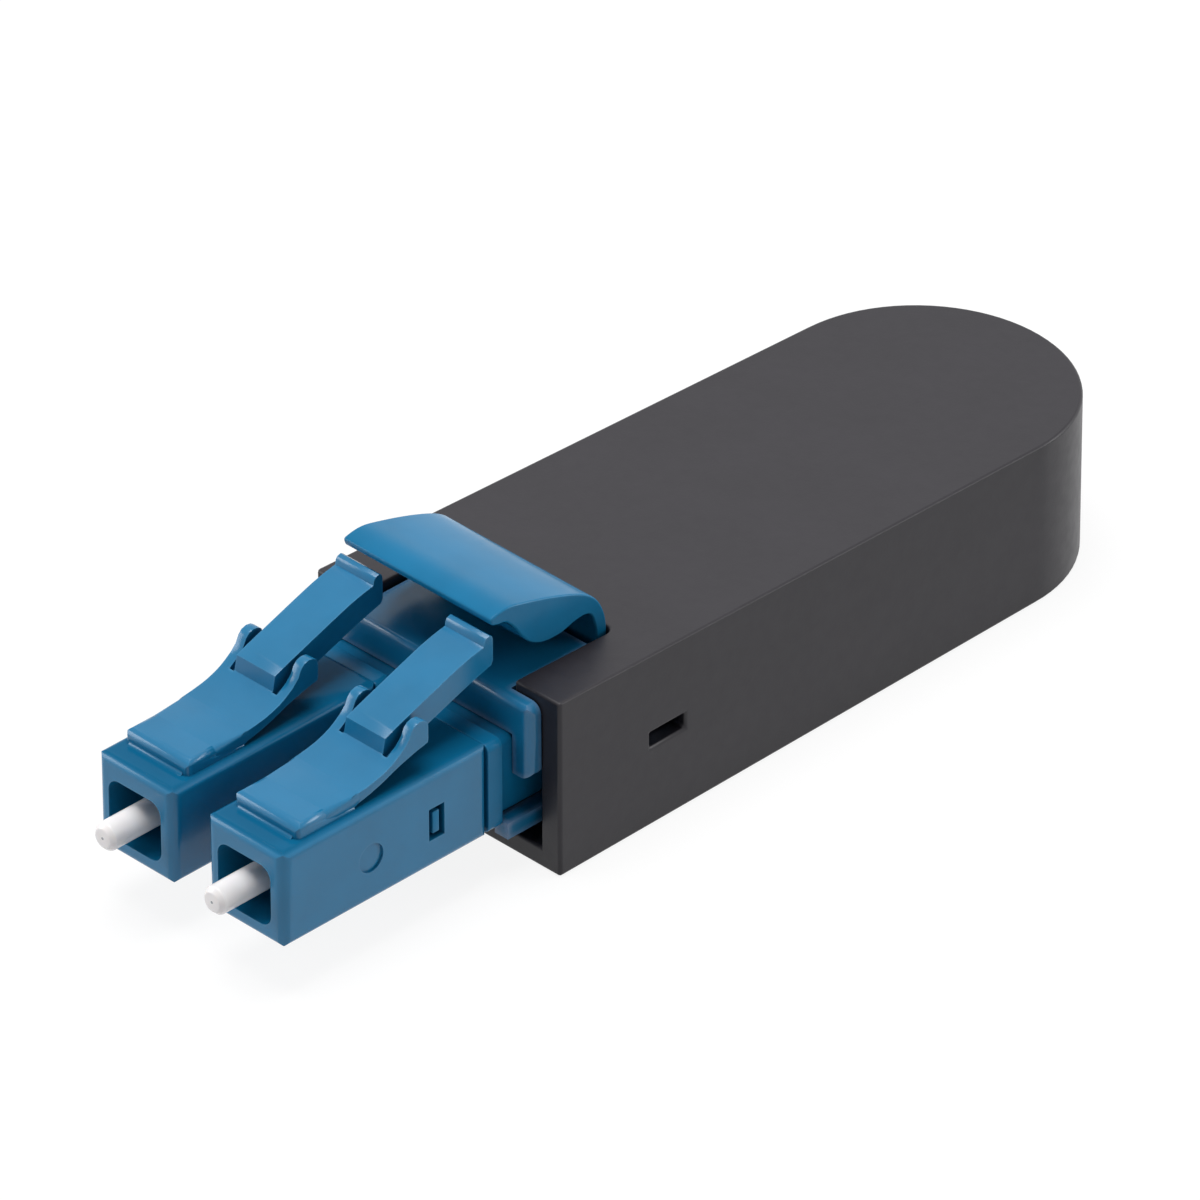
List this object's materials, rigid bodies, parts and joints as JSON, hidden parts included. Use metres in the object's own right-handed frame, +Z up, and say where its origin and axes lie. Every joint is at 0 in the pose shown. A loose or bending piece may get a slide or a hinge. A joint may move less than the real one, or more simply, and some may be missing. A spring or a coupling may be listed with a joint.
{
  "type": "fibre loopback plug",
  "caption": "Short duplex fibre loopback plug: square plugs with sprung ferrules and latches in a clip with a lift trigger, closed by a long round-ended cap.",
  "frame": {"origin": "middle of the underside of the cap's bounding footprint, on the surface the plug lies on", "axes": "+X across the two plugs, +Y from the plug faces to the cap's round rear, +Z up, the latch side"},
  "size_m": [0.0138, 0.0496, 0.0116],
  "materials": {
    "cap_plastic": "satin",
    "clip_plastic": "satin",
    "trigger_plastic": "satin",
    "fibre_jacket": "satin",
    "plug_plastic": "satin",
    "zirconia": "polished",
    "flange_metal": "satin",
    "spring_steel": "polished",
    "body_plastic": "satin",
    "sleeve_metal": "satin"
  },
  "bodies": {
    "housing": {"cap": "cap_plastic", "duplex_clip": "clip_plastic", "fibre_loop": "fibre_jacket", "plug_body_left": "plug_plastic", "plug_body_right": "plug_plastic", "rear_body_left": "body_plastic", "rear_body_right": "body_plastic", "crimp_sleeve_left": "sleeve_metal", "crimp_sleeve_right": "sleeve_metal", "spring_left": "spring_steel", "spring_right": "spring_steel"},
    "trigger": {"trigger": "trigger_plastic"},
    "latch_left": {"latch_left": "plug_plastic"},
    "latch_right": {"latch_right": "plug_plastic"},
    "ferrule_left": {"ferrule_left": "zirconia", "ferrule_flange_left": "flange_metal"},
    "ferrule_right": {"ferrule_right": "zirconia", "ferrule_flange_right": "flange_metal"}
  },
  "joints": [
    {"name": "trigger_press", "type": "hinge", "parent": "housing", "child": "trigger", "pos_m": [0, -0.00447, 0.00674], "axis": [1, 0, 0], "range_deg": [0, 10], "stiffness_Nm_per_rad": 0.02},
    {"name": "latch_left_press", "type": "hinge", "parent": "housing", "child": "latch_left", "pos_m": [-0.00313, -0.01878, 0.00716], "axis": [1, 0, 0], "range_deg": [-8, 0], "stiffness_Nm_per_rad": 0.005},
    {"name": "latch_right_press", "type": "hinge", "parent": "housing", "child": "latch_right", "pos_m": [0.00313, -0.01878, 0.00716], "axis": [1, 0, 0], "range_deg": [-8, 0], "stiffness_Nm_per_rad": 0.005},
    {"name": "ferrule_left_push", "type": "slide", "parent": "housing", "child": "ferrule_left", "axis": [0, 1, 0], "range_m": [0, 0.001], "stiffness_N_per_m": 300, "deforming": ["spring_left"]},
    {"name": "ferrule_right_push", "type": "slide", "parent": "housing", "child": "ferrule_right", "axis": [0, 1, 0], "range_m": [0, 0.001], "stiffness_N_per_m": 300, "deforming": ["spring_right"]}
  ],
  "couplings": [
    {"joint": "latch_left_press", "follows": "trigger_press", "ratio": -0.8},
    {"joint": "latch_right_press", "follows": "trigger_press", "ratio": -0.8}
  ]
}
